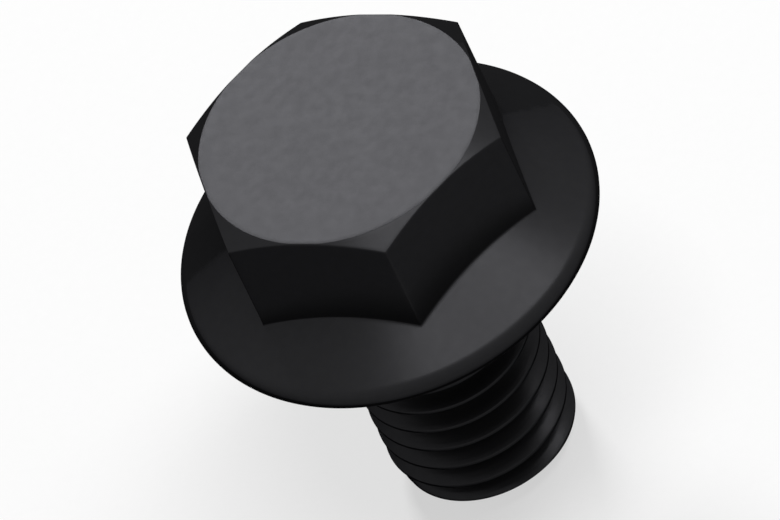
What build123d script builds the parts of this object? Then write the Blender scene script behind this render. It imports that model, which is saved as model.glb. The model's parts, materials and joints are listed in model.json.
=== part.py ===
from build123d import *
import os
from math import atan, ceil, cos, degrees, radians, tan

# Hexagon flange bolt, forged in one piece, with a coarse metric thread rolled on its shank.
# Millimetres, +Z up along the bolt's axis towards the head. The origin is the centre of
# the bearing face, where the underside of the flange meets the part that it clamps.

# Shank
shank_length = 16.0          # from the bearing face to the tip
neck_bevel = 0.4             # between the shank and the bearing face
tip_chamfer_angle = 45.0     # of the lead-in cone, measured from the axis
tip_relief = 0.08            # how far the tip's edge lies inside the thread's root

# Thread, right-hand
thread_diameter = 10.0       # nominal size, over the crests
thread_pitch = 1.5           # coarse pitch, which sets how deep the thread is
thread_angle = 60.0          # between the two flanks of the groove
thread_start = 90.0          # where round the axis a crest meets the plane of the tip
plain_neck = 2.5             # from the bearing face to where the groove has faded out
run_out = 2.0                # over which the groove fades from its full depth

# Flange
flange_diameter = 22.3       # over the rim
rim_thickness = 1.5          # height of the rim, which is a full half round
flange_slope = 30.0          # fall of the upper face from the head to the rim

# Head
across_flats = 15.0          # spanner size, and the diameter of the flat circle on top
head_height = 9.2            # from the bearing face to the top
head_chamfer_angle = 30.0    # fall of the cone that trims the corners

# An external metric thread is 17/24 as deep as its sharp V, and an eighth of the pitch is
# left flat along its crests.
flank_slope = tan(radians(thread_angle / 2))
thread_depth = 17 / 24 * thread_pitch / 2 / flank_slope
crest_width = thread_pitch / 8
thread_radius = thread_diameter / 2
root_radius = thread_radius - thread_depth
tip_radius = root_radius - tip_relief
tip_chamfer_height = (thread_radius - tip_radius) / tan(radians(tip_chamfer_angle))

flange_radius = flange_diameter / 2
rim_radius = rim_thickness / 2
flat_distance = across_flats / 2


def turned(*outline):
    """Solid that a closed outline of radius and height sweeps about the bolt's axis."""
    return revolve(Plane.XZ * make_face(outline), Axis.Z)


def shank_and_flange():
    """Chamfered blank of the shank, bevelled neck, bearing face, round rim and sloping top."""
    rim = CenterArc((flange_radius - rim_radius, rim_radius), rim_radius, -90, 180 - flange_slope)

    # The upper face leaves the rim at a tangent and runs up to the flats of the head.
    rim_top = rim @ 1
    slope_height = rim_top.Y + (rim_top.X - flat_distance) * tan(radians(flange_slope))
    inside_and_shank = Polyline(
        rim_top,
        (flat_distance, slope_height),
        (0, slope_height),
        (0, -shank_length),
        (tip_radius, -shank_length),
        (thread_radius, tip_chamfer_height - shank_length),
        (thread_radius, -neck_bevel),
        (thread_radius + neck_bevel, 0),
        rim @ 0,
    )
    return turned(rim, inside_and_shank)


def hexagon_head():
    """Hexagon that stands in the flange, with its corners trimmed by a cone at the top."""
    hexagon = RegularPolygon(flat_distance, 6, major_radius=False)
    prism = Pos(0, 0, rim_radius) * extrude(hexagon, head_height - rim_radius)

    trim_drop = (flange_radius - flat_distance) * tan(radians(head_chamfer_angle))
    trim = turned(
        Polyline(
            (0, 0),
            (flange_radius, 0),
            (flange_radius, head_height - trim_drop),
            (flat_distance, head_height),
            (0, head_height),
            close=True,
        )
    )
    return prism & trim


def groove_section():
    """Section of the groove: a flat root and two flanks that run on just past the crests."""
    clearance = thread_pitch / 16
    half_mouth = (thread_pitch - crest_width) / 2 + clearance * flank_slope
    half_root = half_mouth - (thread_depth + clearance) * flank_slope
    outline = Polyline(
        (root_radius, -half_root),
        (thread_radius + clearance, -half_mouth),
        (thread_radius + clearance, half_mouth),
        (root_radius, half_root),
        close=True,
    )
    return Plane.XZ * make_face(outline)


def groove():
    """Cutters for the thread, end to end: the run-out, then whole turns down past the tip."""
    section = groove_section()
    full_depth_top = -plain_neck - run_out

    # The groove lies opposite a crest, and climbs one pitch in every turn.
    turns_above_tip = (shank_length + full_depth_top) / thread_pitch
    top = Pos(0, 0, full_depth_top) * Rot(0, 0, thread_start + 180 + 360 * turns_above_tip)

    # A helix on a cone is measured along the slope. It goes on until it is clear of the shank.
    cone_angle = atan(thread_depth / run_out)
    fading = Helix(
        thread_pitch / cos(cone_angle),
        1.15 * run_out / cos(cone_angle),
        root_radius,
        cone_angle=degrees(cone_angle),
    )
    yield top * sweep(section, path=fading, is_frenet=True)

    turn = sweep(section, path=Helix(thread_pitch, thread_pitch, root_radius), is_frenet=True)
    for count in range(1, ceil(turns_above_tip + 0.5) + 1):
        yield top * Pos(0, 0, -count * thread_pitch) * turn


bolt = shank_and_flange() + hexagon_head()
for cutter in groove():
    bolt -= cutter

os.makedirs("parts", exist_ok=True)
export_step(bolt, "parts/flange_bolt.step")
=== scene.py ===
"""Looks of a blackened steel hexagon flange bolt, standing on its tip.

The whole bolt is one mesh, drawn as rows of points that run round its axis from the middle
of the head's top to the middle of the tip. Every row has the same columns. The columns
follow the hexagon's flats and rounded corners, and keep those angles down to the tip.
"""

import json
from math import cos, pi, radians, sin, sqrt, tan

import bpy
import numpy as np
from mathutils import Matrix, Vector


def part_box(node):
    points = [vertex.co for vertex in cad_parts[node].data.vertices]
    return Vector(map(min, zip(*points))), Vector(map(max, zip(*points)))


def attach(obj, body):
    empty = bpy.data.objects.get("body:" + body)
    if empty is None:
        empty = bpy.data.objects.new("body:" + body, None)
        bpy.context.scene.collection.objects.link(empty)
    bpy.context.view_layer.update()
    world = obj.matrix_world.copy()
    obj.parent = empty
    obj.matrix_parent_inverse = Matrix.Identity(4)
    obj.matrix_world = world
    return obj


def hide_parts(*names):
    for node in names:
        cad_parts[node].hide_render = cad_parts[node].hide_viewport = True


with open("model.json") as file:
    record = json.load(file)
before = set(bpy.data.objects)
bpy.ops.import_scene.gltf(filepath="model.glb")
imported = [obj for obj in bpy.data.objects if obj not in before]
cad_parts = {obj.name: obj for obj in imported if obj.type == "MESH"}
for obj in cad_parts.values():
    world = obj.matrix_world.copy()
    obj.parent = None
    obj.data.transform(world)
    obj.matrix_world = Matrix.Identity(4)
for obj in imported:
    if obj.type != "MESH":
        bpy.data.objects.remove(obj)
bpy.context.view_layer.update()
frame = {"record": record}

# Sizes, in metres. What the CAD solid's box and mounts hold is read from them.
MM = 0.001
NODE = "flange_bolt"
low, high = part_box(NODE)
mounts = {mount["name"]: mount for mount in frame["record"]["mounts"]}

TIP_HEIGHT = low.z
TOP_HEIGHT = high.z
FLANGE_RADIUS = high.x
SHANK_RADIUS = mounts["shank"]["dims"]["r_mm"] * MM

FLAT_DISTANCE = 7.5 * MM            # half the spanner size
HEAD_CHAMFER = radians(30)          # fall of the cone that trims the head's corners
RIM_RADIUS = 0.75 * MM              # the flange's rim is a full half round
FLANGE_SLOPE = radians(30)          # fall of the flange's upper face
NECK_FILLET = 0.4 * MM
TIP_CHAMFER = 1.0 * MM              # as high as it is deep
TIP_SLOPE = radians(45)

PITCH = 1.5 * MM
V_HEIGHT = PITCH * sqrt(3) / 2      # of the thread's sharp triangle
FLANK_ANGLE = radians(30)           # between a flank and the plane across the axis
THREAD_DEPTH = V_HEIGHT * 17 / 24
HALF_CREST = PITCH / 16             # half the width that the flanks leave along a crest
HALF_ROOT = PITCH / 8               # half the width of the round root between them
ROOT_RADIUS = V_HEIGHT / 6
CREST_RADIUS = 0.05 * MM            # rolling leaves the crests a little round
CREST_FLAT = HALF_CREST - CREST_RADIUS * tan(FLANK_ANGLE)   # of half a crest, what stays level
PLAIN_NECK = 2.5 * MM               # under the head, before the thread starts to run in
RUN_OUT = 2.0 * MM                  # over which the thread reaches its full depth
THREAD_START = radians(90)          # where round the axis a crest leaves the tip's plane

EDGE_RADIUS = 0.07 * MM             # how far the head's sharp edges are broken
ROOT_FILLET = 0.10 * MM             # forging fillet where the flats meet the flange
TIP_EDGE_RADIUS = 0.10 * MM
TIP_CREASE = 0.04 * MM              # over which the thread eases into the tip's chamfer
FLOOR_GAP = 0.01 * MM               # so that the tip's face and the floor don't coincide

# How finely the mesh is drawn
FLAT_STEPS = 36
CORNER_STEPS = 6
CORNER_SPREAD = radians(0.5)        # half the angle that a corner's columns take elsewhere
TOP_EDGE_STEPS = 3                  # round the edge between the top and the chamfer
CHAMFER_STEPS = 5                   # down the chamfer
WALL_EDGE_STEPS = 5                 # round the edge between the chamfer and the flats
ROOT_FILLET_STEPS = 4
RIM_STEPS = 15
NECK_STEPS = 5
TIP_EDGE_STEPS = 4
TINY_TURN = 1e-6                    # vectors nearer than this, in radians, are mixed straight
MERGE = 1e-8                        # points nearer than this are one

# Where rows lie across a face, as shares of the way. Rows close to an edge keep the smooth
# shading of the edge off the face.
TOP_SHARES = (0, 0.25, 0.5, 0.8, 0.97)
WALL_SHARES = (0.02, 0.2, 0.4, 0.6, 0.8, 0.98, 1)
SLOPE_SHARES = (0.04, 0.2, 0.4, 0.6, 0.8, 0.97, 1)
BEARING_SHARES = (0.03, 0.35, 0.7, 0.97, 1)
TIP_SHARES = (0.97, 0.6, 0.3, 0)
CREST_TURNS = (0, 20, 40, 60)       # degrees round the edge of a crest, from level to the flank
FLANK_SHARES = (0.17, 0.27)         # of the pitch, from a crest's middle
ROOT_TURNS = (60, 40, 20)           # degrees round the root, from the flank to the bottom


# ---------------------------------------------------------------- rows of the bolt's mesh

class Columns:
    """The mesh's columns: where they meet the core of the hexagon, an edge radius inside it,
    which way the flat or rounded corner faces there, and their angles where the bolt is round."""

    def __init__(self):
        places, normals, angles = [], [], []
        core = FLAT_DISTANCE - EDGE_RADIUS
        sector = radians(60)
        for side in range(6):
            corner = side * sector
            for step in range(CORNER_STEPS):
                turn = step / CORNER_STEPS - 0.5
                places.append(self.polar(core / cos(sector / 2), corner))
                normals.append(self.polar(1, corner + turn * sector))
                angles.append(corner + turn * 2 * CORNER_SPREAD)
            middle = corner + sector / 2
            for step in range(FLAT_STEPS):
                across = (step / FLAT_STEPS - 0.5) * sector
                places.append(self.polar(core / cos(across), middle + across))
                normals.append(self.polar(1, middle))
                angles.append(middle + across + (CORNER_SPREAD if step == 0 else 0))
        self.places = np.array(places)
        self.normals = np.array(normals)
        self.angles = np.array(angles)

    @staticmethod
    def polar(radius, angle):
        return radius * cos(angle), radius * sin(angle)


def points(radius, angle, height):
    """Row of points from radii, angles and heights, each one number or one for each column."""
    radius, angle, height = np.broadcast_arrays(radius, angle, height)
    return np.stack([radius * np.cos(angle), radius * np.sin(angle), height], axis=1)


def tilted(angle, rise):
    """Row of unit vectors that point outwards at an angle round the axis, and rise from level."""
    return points(np.cos(rise) * np.ones_like(angle), angle, np.sin(rise))


def turned(first, second, share):
    """Row of unit vectors, a share of the way round from those of first to those of second."""
    angle = np.arccos(np.clip((first * second).sum(axis=1), -1, 1))
    small = angle < TINY_TURN
    angle = np.where(small, 1, angle)
    near = np.where(small, 1 - share, np.sin((1 - share) * angle) / np.sin(angle))
    far = np.where(small, share, np.sin(share * angle) / np.sin(angle))
    return near[:, None] * first + far[:, None] * second


def shares(steps):
    """The ends of equal steps from 0 to 1, without 0."""
    return np.arange(1, steps + 1) / steps


def slope_height(radius):
    """Height of the flange's upper face, which leaves the round rim at a tangent."""
    edge = FLANGE_RADIUS - RIM_RADIUS + RIM_RADIUS * sin(FLANGE_SLOPE)
    edge_height = RIM_RADIUS + RIM_RADIUS * cos(FLANGE_SLOPE)
    return edge_height + (edge - radius) * tan(FLANGE_SLOPE)


def head_rows(columns):
    """Top face, corner chamfer and flats. All edges are rolled over a core with a ball."""
    wall_normal = np.column_stack([columns.normals, np.zeros(len(columns.normals))])
    wall_radius = np.linalg.norm(columns.places, axis=1)
    wall_angle = np.unwrap(np.arctan2(columns.places[:, 1], columns.places[:, 0]))
    up = np.tile([0.0, 0.0, 1.0], (len(wall_radius), 1))

    # The chamfer dies out near the middle of each flat, where the top meets the wall.
    circle_radius = FLAT_DISTANCE - EDGE_RADIUS * tan(HEAD_CHAMFER / 2)
    chamfered = wall_radius > circle_radius
    core_top = TOP_HEIGHT - EDGE_RADIUS
    fall = np.where(chamfered, (wall_radius - circle_radius) * tan(HEAD_CHAMFER), 0)
    top_radius = np.where(chamfered, circle_radius, wall_radius)
    top_angle = np.where(chamfered, columns.angles, wall_angle)

    def chamfer_normal(angle):
        rising = tilted(angle, pi / 2 - HEAD_CHAMFER)
        level = turned(up, wall_normal, HEAD_CHAMFER / (pi / 2))
        return np.where(chamfered[:, None], rising, level)

    rows = [points(share * top_radius, top_angle, TOP_HEIGHT) for share in TOP_SHARES]
    core = points(top_radius, top_angle, core_top)
    rows.append(core + EDGE_RADIUS * up)
    for share in shares(TOP_EDGE_STEPS):
        rows.append(core + EDGE_RADIUS * turned(up, chamfer_normal(top_angle), share))

    for share in shares(CHAMFER_STEPS):
        radius = top_radius + share * (wall_radius - top_radius)
        angle = top_angle + share * (wall_angle - top_angle)
        core = points(radius, angle, core_top - share * fall)
        rows.append(core + EDGE_RADIUS * chamfer_normal(angle))
    for share in shares(WALL_EDGE_STEPS):
        rows.append(core + EDGE_RADIUS * turned(chamfer_normal(wall_angle), wall_normal, share))

    # Down the wall to the fillet, whose ball rests against the wall and the flange's slope.
    ball = columns.places + (EDGE_RADIUS + ROOT_FILLET) * columns.normals
    ball_radius = np.linalg.norm(ball, axis=1)
    ball_angle = np.unwrap(np.arctan2(ball[:, 1], ball[:, 0]))
    ball_height = slope_height(ball_radius) + ROOT_FILLET / cos(FLANGE_SLOPE)
    wall_top = rows[-1]
    for share in WALL_SHARES:
        row = wall_top.copy()
        row[:, 2] += share * (ball_height - wall_top[:, 2])
        rows.append(row)
    slope_normal = tilted(ball_angle, pi / 2 - FLANGE_SLOPE)
    centres = np.column_stack([ball, ball_height])
    for share in shares(ROOT_FILLET_STEPS):
        rows.append(centres - ROOT_FILLET * turned(wall_normal, slope_normal, share))
    return rows


def flange_rows(columns, start):
    """Sloping face, round rim, bearing face and the fillet into the shank, after row start."""
    rows = []
    start_radius = np.linalg.norm(start[:, :2], axis=1)
    start_angle = np.unwrap(np.arctan2(start[:, 1], start[:, 0]))
    rim_centre = FLANGE_RADIUS - RIM_RADIUS
    rim_top = rim_centre + RIM_RADIUS * sin(FLANGE_SLOPE)
    for share in SLOPE_SHARES:
        radius = start_radius + share * (rim_top - start_radius)
        angle = start_angle + share * (columns.angles - start_angle)
        rows.append(points(radius, angle, slope_height(radius)))

    for share in shares(RIM_STEPS):
        rise = pi / 2 - FLANGE_SLOPE - share * (pi - FLANGE_SLOPE)
        radius = rim_centre + RIM_RADIUS * cos(rise)
        rows.append(points(radius, columns.angles, RIM_RADIUS + RIM_RADIUS * sin(rise)))

    neck_centre = SHANK_RADIUS + NECK_FILLET
    for share in BEARING_SHARES:
        radius = rim_centre + share * (neck_centre - rim_centre)
        rows.append(points(radius, columns.angles, 0))
    for share in shares(NECK_STEPS):
        turn = share * pi / 2
        radius = neck_centre - NECK_FILLET * sin(turn)
        rows.append(points(radius, columns.angles, NECK_FILLET * (cos(turn) - 1)))
    return rows


def thread_places():
    """Places of the rows over one pitch, measured along the axis from the middle of a crest."""
    crest = [CREST_FLAT + CREST_RADIUS * sin(radians(turn)) for turn in CREST_TURNS]
    flank = [PITCH * share for share in FLANK_SHARES]
    root = [PITCH / 2 - ROOT_RADIUS * sin(radians(turn)) for turn in ROOT_TURNS]
    half = crest + flank + root
    return half + [PITCH / 2] + [PITCH - place for place in reversed(half)]


def thread_depth(place):
    """Depth of the thread under its crests at a place along the axis, from a crest's middle."""
    place = abs((place + PITCH / 2) % PITCH - PITCH / 2)
    rounding = place - CREST_FLAT
    if rounding < 0:
        return 0.0
    if rounding < CREST_RADIUS * cos(FLANK_ANGLE):
        return CREST_RADIUS - sqrt(CREST_RADIUS ** 2 - rounding ** 2)
    from_root = PITCH / 2 - place
    if from_root > HALF_ROOT:
        return (place - HALF_CREST) / tan(FLANK_ANGLE)
    return THREAD_DEPTH - ROOT_RADIUS + sqrt(ROOT_RADIUS ** 2 - from_root ** 2)


def eased_least(first, second, reach):
    """The lesser of two lengths, with the crease between them eased over a reach."""
    mix = np.clip(0.5 + (second - first) / (2 * reach), 0, 1)
    return second + (first - second) * mix - reach * mix * (1 - mix)


def thread_rows(columns):
    """Rows that climb one pitch a turn, right-handed, and stop at a level ring at each end.
    Returns how many of them one turn has, too."""
    top = -NECK_FILLET
    bottom = TIP_HEIGHT + TIP_EDGE_RADIUS * (1 - cos(TIP_SLOPE))
    climb = PITCH * (columns.angles - THREAD_START) / (2 * pi)
    places = thread_places()
    rows = []

    # A row climbs a whole pitch on its way round, so there are turns to spare at both ends.
    for turn in range(-2, int((top - bottom) / PITCH) + 2):
        for place in places:
            height = np.clip(TIP_HEIGHT + turn * PITCH + place + climb, bottom, top)
            lift = THREAD_DEPTH * np.clip((height + PLAIN_NECK + RUN_OUT) / RUN_OUT, 0, 1)
            radius = SHANK_RADIUS - np.clip(thread_depth(place) - lift, 0, None)
            cone = SHANK_RADIUS - TIP_CHAMFER + height - TIP_HEIGHT
            rows.append(points(eased_least(radius, cone, TIP_CREASE), columns.angles, height))
    return rows[::-1], len(places)


def tip_rows(columns):
    """Rounded edge and flat end of the tip."""
    rows = []
    flat_radius = SHANK_RADIUS - TIP_CHAMFER - TIP_EDGE_RADIUS * tan(TIP_SLOPE / 2)
    for share in shares(TIP_EDGE_STEPS):
        turn = TIP_SLOPE * (1 - share)
        radius = flat_radius + TIP_EDGE_RADIUS * sin(turn)
        height = TIP_HEIGHT + TIP_EDGE_RADIUS * (1 - cos(turn))
        rows.append(points(radius, columns.angles, height))
    rows += [points(flat_radius * share, columns.angles, TIP_HEIGHT) for share in TIP_SHARES]
    return rows


# ---------------------------------------------------------------- joining rows into a mesh

def joined(rows, first, rows_a_turn=0):
    """Faces between rows whose points are numbered from first. A thread's last column meets
    its first column one turn up, which is as many rows back as a turn has."""
    count, columns = len(rows), len(rows[0])
    numbers = first + np.arange(count * columns).reshape(count, columns)
    here = numbers[rows_a_turn:]
    beside = np.column_stack([here[:, 1:], numbers[:count - rows_a_turn, 0]])
    corners = (here[:-1], here[1:], beside[1:], beside[:-1])
    return np.stack([corner.ravel() for corner in corners], axis=1)


def bolt_mesh():
    columns = Columns()
    head = head_rows(columns)
    flange = flange_rows(columns, head[-1])
    thread, rows_a_turn = thread_rows(columns)
    tip = [thread[-1]] + tip_rows(columns)

    faces, places = [], []
    for rows, wrap in ((head + flange, 0), (thread, rows_a_turn), (tip, 0)):
        faces.append(joined(rows, sum(len(block) for block in places), wrap))
        places.append(np.concatenate(rows))
    places, faces = np.concatenate(places), np.concatenate(faces)

    # Points that fall together become one, and faces that lose corners shrink or go.
    grid = np.round(places / MERGE).astype(np.int64)
    _, kept, number = np.unique(grid, axis=0, return_index=True, return_inverse=True)
    clean = []
    for face in number.ravel()[faces]:
        corners = [corner for spot, corner in enumerate(face) if corner != face[spot - 1]]
        if len(corners) > 2:
            clean.append(corners)
    used = sorted({corner for face in clean for corner in face})
    renumbered = {corner: spot for spot, corner in enumerate(used)}
    clean = [[renumbered[corner] for corner in face] for face in clean]
    mesh = bpy.data.meshes.new("flange_bolt_form")
    mesh.from_pydata(places[kept[used]], [], clean)
    return mesh


bolt = bpy.data.objects.new("threaded_bolt", bolt_mesh())
bpy.context.scene.collection.objects.link(bolt)


# ---------------------------------------------------------------- finish

OXIDE_DARK = 0.0214, 0.0214, 0.0228
OXIDE_PALE = 0.0231, 0.0231, 0.0246
DARK_ROUGHNESS, PALE_ROUGHNESS = 0.325, 0.31
METAL = 0.54                        # how much of the metal's mirror shows through the oxide
GLANCE_START, GLANCE_END = 0.86, 0.92   # where that fades out, from 0 head on to 1 edge on

GRAIN_SIZE, GRAIN_DEPTH = 0.07 * MM, 0.0012 * MM
SKIN_SIZE, SKIN_DEPTH = 1.4 * MM, 0.003 * MM
MARK_SIZE, MARK_DEPTH = 0.05 * MM, 0.003 * MM
MARK_CHANGE = 0.03                  # how fast they change round the axis, beside 1 along it
MARKS_BELOW, PLAIN_ABOVE = -0.2 * MM, 0.3 * MM  # heights between which they fade out
MOTTLE_SIZE = 0.5 * MM


class Surface:
    """A material's nodes, with short ways to add noise, ranges and relief to them."""

    def __init__(self, name):
        self.material = bpy.data.materials.new(name)
        self.material.use_nodes = True
        self.nodes = self.material.node_tree.nodes
        self.join = self.material.node_tree.links.new
        self.places = self.nodes.new("ShaderNodeTexCoord").outputs["Object"]

    def noise(self, size, detail, places=None):
        """Noise with grains about a size across, in metres."""
        node = self.nodes.new("ShaderNodeTexNoise")
        node.inputs["Scale"].default_value = 1 / size
        node.inputs["Detail"].default_value = detail
        self.join(places or self.places, node.inputs["Vector"])
        return node.outputs["Fac"]

    def ranged(self, value, start, end, low=0.3, high=0.7):
        """A value that goes from start to end as another goes from low to high."""
        node = self.nodes.new("ShaderNodeMapRange")
        node.inputs["From Min"].default_value = low
        node.inputs["From Max"].default_value = high
        node.inputs["To Min"].default_value = start
        node.inputs["To Max"].default_value = end
        self.join(value, node.inputs["Value"])
        return node.outputs["Result"]

    def worked(self, operation, *values):
        """Result of a vector operation on sockets or plain vectors."""
        node = self.nodes.new("ShaderNodeVectorMath")
        node.operation = operation
        for socket, value in zip(node.inputs, values):
            if isinstance(value, tuple):
                socket.default_value = value
            else:
                self.join(value, socket)
        return node.outputs["Value" if operation == "LENGTH" else "Vector"]

    def tinted(self, value, first, second):
        """Colour that goes from the first to the second as a value rises."""
        node = self.nodes.new("ShaderNodeValToRGB")
        node.color_ramp.elements[0].position = 0.3
        node.color_ramp.elements[1].position = 0.7
        node.color_ramp.elements[0].color = (*first, 1)
        node.color_ramp.elements[1].color = (*second, 1)
        self.join(value, node.inputs["Fac"])
        return node.outputs["Color"]

    def relief(self, height, depth, strength=None, normal=None):
        """Bumps of a depth, in metres, on top of those that the normal already has."""
        node = self.nodes.new("ShaderNodeBump")
        node.inputs["Distance"].default_value = depth
        self.join(height, node.inputs["Height"])
        if strength:
            self.join(strength, node.inputs["Strength"])
        if normal:
            self.join(normal, node.inputs["Normal"])
        return node.outputs["Normal"]


def blackened_steel():
    """Black oxide on forged and rolled steel: a dull body with a dark, even sheen."""
    surface = Surface("blackened_steel")
    grain = surface.noise(GRAIN_SIZE, 3)
    skin = surface.noise(SKIN_SIZE, 4)
    mottling = surface.noise(MOTTLE_SIZE, 5)

    # Rolling and turning leave fine marks that run round the axis, below the flange only.
    radius = surface.worked("LENGTH", surface.worked("MULTIPLY", surface.places, (1.0, 1.0, 0.0)))
    outwards = surface.worked("MULTIPLY", (1.0, 0.0, 0.0), radius)
    stretched = surface.worked("MULTIPLY", surface.places, (MARK_CHANGE, MARK_CHANGE, 1.0))
    marks = surface.noise(MARK_SIZE, 2, surface.worked("ADD", outwards, stretched))
    split = surface.nodes.new("ShaderNodeSeparateXYZ")
    surface.join(surface.places, split.inputs["Vector"])
    below = surface.ranged(split.outputs["Z"], 1, 0, low=MARKS_BELOW, high=PLAIN_ABOVE)

    normal = surface.relief(skin, SKIN_DEPTH)
    normal = surface.relief(grain, GRAIN_DEPTH, normal=normal)
    normal = surface.relief(marks, MARK_DEPTH, strength=below, normal=normal)

    # The picture shows no glint on faces that are seen at a glancing angle.
    glancing = surface.nodes.new("ShaderNodeLayerWeight").outputs["Facing"]
    metal = surface.ranged(glancing, METAL, 0, low=GLANCE_START, high=GLANCE_END)

    oxide = surface.nodes["Principled BSDF"]
    surface.join(metal, oxide.inputs["Metallic"])
    oxide.inputs["Specular Tint"].default_value = (0, 0, 0, 1)
    oxide.inputs["Specular IOR Level"].default_value = 0
    colour = surface.tinted(mottling, OXIDE_DARK, OXIDE_PALE)
    surface.join(colour, oxide.inputs["Base Color"])
    roughness = surface.ranged(mottling, DARK_ROUGHNESS, PALE_ROUGHNESS)
    surface.join(roughness, oxide.inputs["Roughness"])
    surface.join(normal, oxide.inputs["Normal"])
    return surface.material


bolt.data.materials.append(blackened_steel())
bolt.data.shade_smooth()
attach(bolt, "root")
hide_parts(NODE)


# ---------------------------------------------------------------- camera

CAMERA_AZIMUTH = radians(34.14)
CAMERA_ELEVATION = radians(46.03)
CAMERA_ROLL = radians(26.0)         # clockwise, as the photographer sees it
FRAME_WIDTH = 39.70 * MM            # of the view, at the bolt
AIM_DROP = 1.02 * MM                # of the view's middle, below the bearing face
AIM_LEFT = 0.59 * MM                # of the view's middle, from the bolt's axis
LENS, SENSOR = 1100.0, 36.0

across_view = Vector((cos(CAMERA_AZIMUTH), sin(CAMERA_AZIMUTH), 0))
away = Vector((-sin(CAMERA_AZIMUTH), cos(CAMERA_AZIMUTH), 0))


def put_in_scene(thing, position, right, up, back):
    """Puts a camera or a lamp at a position, with its own axes along right, up and back."""
    axes = Matrix((right, up, back)).transposed().to_4x4()
    thing.matrix_world = Matrix.Translation(position) @ axes
    bpy.context.scene.collection.objects.link(thing)


def make_camera():
    """Camera far off with a long lens, because the picture has next to no perspective."""
    data = bpy.data.cameras.new("camera")
    data.lens, data.sensor_width = LENS, SENSOR
    data.clip_start, data.clip_end = 0.01, 10
    camera = bpy.data.objects.new("camera", data)
    back = Vector((0, 0, sin(CAMERA_ELEVATION))) - away * cos(CAMERA_ELEVATION)
    upright = back.cross(across_view)
    right = across_view * cos(CAMERA_ROLL) - upright * sin(CAMERA_ROLL)
    up = upright * cos(CAMERA_ROLL) + across_view * sin(CAMERA_ROLL)
    target = Vector((0, 0, -AIM_DROP)) - across_view * AIM_LEFT
    put_in_scene(camera, target + back * (FRAME_WIDTH * LENS / SENSOR), right, up, back)
    bpy.context.scene.camera = camera


make_camera()


# ---------------------------------------------------------------- studio

SOFTBOX_DISTANCE = 0.5
WORLD_LIGHT = 0.08                  # strength of the world where it lights, not where it shows
FLOOR_REACH = 3.0                   # from the bolt to the floor's edges
FLOOR_WHITE = 0.6                   # share of plain white in how the floor shows
FLOOR_THROW = 0.3                   # of the light that its colour would throw back, what it does
FLOOR_DARK = 0.91, 0.91, 0.91
FLOOR_PALE = 0.93, 0.93, 0.93
FIBRE_SIZE = 0.5 * MM


def heading(azimuth):
    """Level direction at an azimuth counted from the camera's right, anticlockwise from above."""
    return across_view * cos(radians(azimuth)) + away * sin(radians(azimuth))


def softbox(name, azimuth, elevation, long_side, size, light):
    """Area light aimed at the bolt, which lights it to a level, where pi is what shows a white
    card as white. Its long side runs as near as can be along a heading."""
    aim = heading(azimuth) * cos(radians(elevation)) + Vector((0, 0, sin(radians(elevation))))
    side = heading(long_side) - aim * aim.dot(heading(long_side))
    side.normalize()
    data = bpy.data.lights.new(name, "AREA")
    data.shape = "RECTANGLE"
    data.size, data.size_y = size
    data.energy = light * pi * SOFTBOX_DISTANCE ** 2
    lamp = bpy.data.objects.new(name, data)
    lamp.visible_camera = False
    put_in_scene(lamp, aim * SOFTBOX_DISTANCE, side, aim.cross(side), aim)


softbox("softbox_behind", 89, 42.8, 0, (0.12, 0.12), 1.57)
softbox("softbox_overhead", -26, 75, 15, (0.47, 0.17), 2.42)


def white_to_the_eye(nodes, join):
    """1 for rays from the camera, mirrors and glass, and 0 for the rays that light things."""
    path = nodes.new("ShaderNodeLightPath")
    seen = path.outputs["Is Camera Ray"]
    for kind in ("Is Glossy Ray", "Is Transmission Ray"):
        either = nodes.new("ShaderNodeMath")
        either.operation = "MAXIMUM"
        join(seen, either.inputs[0])
        join(path.outputs[kind], either.inputs[1])
        seen = either.outputs[0]
    return seen


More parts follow.
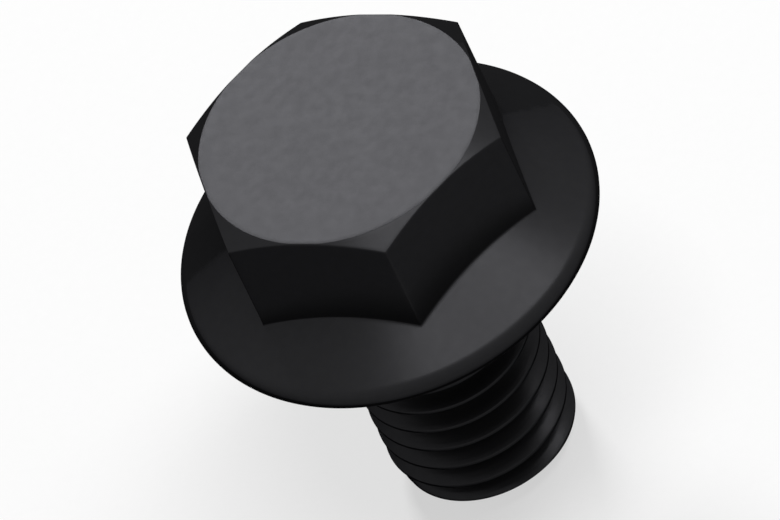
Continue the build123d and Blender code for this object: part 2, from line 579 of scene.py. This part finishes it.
def make_world():
    """White surroundings that light the bolt only a little."""
    world = bpy.data.worlds.new("studio")
    world.use_nodes = True
    nodes, join = world.node_tree.nodes, world.node_tree.links.new
    background = nodes["Background"]
    background.inputs["Color"].default_value = (1, 1, 1, 1)
    strength = nodes.new("ShaderNodeMapRange")
    strength.inputs["To Min"].default_value = WORLD_LIGHT
    strength.inputs["To Max"].default_value = 1.0
    join(white_to_the_eye(nodes, join), strength.inputs["Value"])
    join(strength.outputs["Result"], background.inputs["Strength"])
    bpy.context.scene.world = world


make_world()


def make_floor():
    """Level pale floor that shows near white, with a soft part of the bolt's shadow. The
    picture has no floor, so this one throws only a little light back at the bolt's sides."""
    height = TIP_HEIGHT - FLOOR_GAP
    signs = ((-1, -1), (1, -1), (1, 1), (-1, 1))
    mesh = bpy.data.meshes.new("floor")
    corners = [(x * FLOOR_REACH, y * FLOOR_REACH, height) for x, y in signs]
    mesh.from_pydata(corners, [], [(0, 1, 2, 3)])
    floor = bpy.data.objects.new("floor", mesh)
    bpy.context.scene.collection.objects.link(floor)

    surface = Surface("pale_floor")
    paper = surface.nodes["Principled BSDF"]
    paper.inputs["Roughness"].default_value = 1
    paper.inputs["Specular IOR Level"].default_value = 0
    fibres = surface.noise(FIBRE_SIZE, 4)
    pale = surface.tinted(fibres, FLOOR_DARK, FLOOR_PALE)
    to_the_eye = white_to_the_eye(surface.nodes, surface.join)
    thrown_back = surface.ranged(to_the_eye, FLOOR_THROW, 1, low=0, high=1)
    surface.join(surface.worked("MULTIPLY", pale, thrown_back), paper.inputs["Base Color"])
    white = surface.nodes.new("ShaderNodeEmission")
    white.inputs["Color"].default_value = (1, 1, 1, 1)
    white.inputs["Strength"].default_value = 1
    share = surface.ranged(to_the_eye, 0, FLOOR_WHITE, low=0, high=1)
    both = surface.nodes.new("ShaderNodeMixShader")
    surface.join(share, both.inputs["Fac"])
    surface.join(paper.outputs["BSDF"], both.inputs[1])
    surface.join(white.outputs["Emission"], both.inputs[2])
    surface.join(both.outputs["Shader"], surface.nodes["Material Output"].inputs["Surface"])
    mesh.materials.append(surface.material)


make_floor()
bpy.context.scene.view_settings.view_transform = "Standard"
